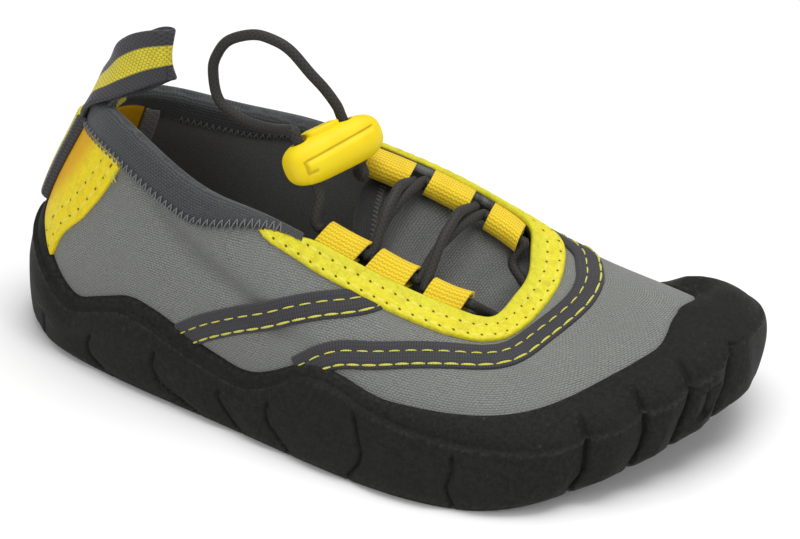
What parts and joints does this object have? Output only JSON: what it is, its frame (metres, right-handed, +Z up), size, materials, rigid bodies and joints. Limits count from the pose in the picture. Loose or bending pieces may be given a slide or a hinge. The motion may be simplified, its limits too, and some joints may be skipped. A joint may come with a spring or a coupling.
{
  "type": "barefoot water shoe",
  "caption": "Right-foot child's barefoot water shoe: moulded rubber cup sole with toe pods, neoprene upper, webbing lace loops and a bungee cord with a cord lock.",
  "frame": {"origin": "on the floor under the middle of the shoe's outline", "axes": "+X from heel to toe, +Y to the medial (big toe) side, +Z up"},
  "size_m": [0.186, 0.0866, 0.086],
  "materials": {
    "rubber": "fine matt moulded texture",
    "neoprene": "grey knit-faced neoprene",
    "lining": "dark grey knit lining",
    "binding": "dark grey stretch binding tape with zigzag stitches",
    "facing": "yellow synthetic facing with rows of stitch holes",
    "ribbon": "dark woven ribbon",
    "webbing": "warm yellow woven webbing",
    "cord": "dark braided elastic cord",
    "plastic": "moulded yellow plastic, slightly glossy"
  },
  "bodies": {
    "root": {"outsole": "rubber", "upper": "neoprene", "insole": "lining", "tongue": "neoprene", "tongue_binding": "binding", "collar_binding": "binding", "eyestay": "facing", "stripe_front": "ribbon", "stripe_side_lateral": "ribbon", "stripe_side_medial": "ribbon", "heel_counter": "facing", "heel_patch": "ribbon", "pull_loop": "ribbon", "lace_loop_lateral_1": "webbing", "lace_loop_lateral_2": "webbing", "lace_loop_lateral_3": "webbing", "lace_loop_medial_1": "webbing", "lace_loop_medial_2": "webbing", "lace_loop_medial_3": "webbing", "lace": "cord", "cord_strand_lateral": "cord", "cord_loop": "cord", "cord_strand_medial": "cord", "cord_lock_shell": "plastic", "cord_lock_button": "plastic"}
  },
  "joints": []
}
